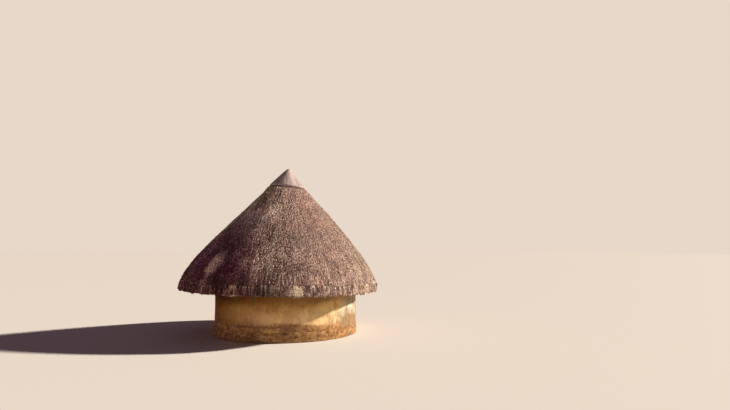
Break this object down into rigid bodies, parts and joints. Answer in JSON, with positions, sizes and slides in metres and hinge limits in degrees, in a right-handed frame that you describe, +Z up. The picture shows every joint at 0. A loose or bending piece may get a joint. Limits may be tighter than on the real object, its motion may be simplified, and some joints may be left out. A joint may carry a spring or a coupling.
{
  "type": "rondavel hut",
  "caption": "Round thatched hut: an earth wall ring on a dark base course, a leaning conical thatched roof on poles with a smooth cap over its apex, and an open doorway at the back.",
  "frame": {"origin": "centre of the wall ring on the ground, on the floor's flat underside", "axes": "+Z up; -Y is the front that the picture shows and +Y the back with the doorway; +X is the right of the front, the side the roof leans to"},
  "size_m": [5.6643, 5.6698, 4.7687],
  "materials": {
    "earth_wall": "matt earth plaster, ochre, streaked, darker under the eave",
    "base_course": "rough red-brown earth, splashed and damp",
    "rammed_floor": "matt rammed earth",
    "door_timber": "weathered, squared and oiled",
    "roof_timber": "round poles, bark off, dry and matt",
    "lath_wood": "thin bent rods, dry and matt",
    "thatch": "weathered grass thatch, grey-brown, combed and shaggy, matt",
    "cap_mortar": "smooth weathered mortar, grey with faint streaks"
  },
  "bodies": {
    "root": {"floor": "rammed_floor", "plinth_back_left": "base_course", "plinth_front_left": "base_course", "plinth_front": "base_course", "plinth_front_right": "base_course", "plinth_back_right": "base_course", "wall_back_left": "earth_wall", "wall_front_left": "earth_wall", "wall_front": "earth_wall", "wall_front_right": "earth_wall", "wall_back_right": "earth_wall", "wall_over_door": "earth_wall", "door_sill": "door_timber", "door_post_left": "door_timber", "door_post_right": "door_timber", "door_lintel": "door_timber", "wall_plate_front": "roof_timber", "wall_plate_left": "roof_timber", "wall_plate_back": "roof_timber", "wall_plate_right": "roof_timber", "poles_front": "roof_timber", "poles_left": "roof_timber", "poles_back": "roof_timber", "poles_right": "roof_timber", "apex_boss": "roof_timber", "laths_lower": "lath_wood", "laths_middle": "lath_wood", "laths_upper": "lath_wood", "thatch_eave_front": "thatch", "thatch_eave_left": "thatch", "thatch_eave_back": "thatch", "thatch_eave_right": "thatch", "thatch_lower_front": "thatch", "thatch_lower_left": "thatch", "thatch_lower_back": "thatch", "thatch_lower_right": "thatch", "thatch_middle_front": "thatch", "thatch_middle_left": "thatch", "thatch_middle_back": "thatch", "thatch_middle_right": "thatch", "thatch_upper": "thatch", "thatch_top": "thatch", "roof_cap": "cap_mortar"}
  },
  "joints": []
}
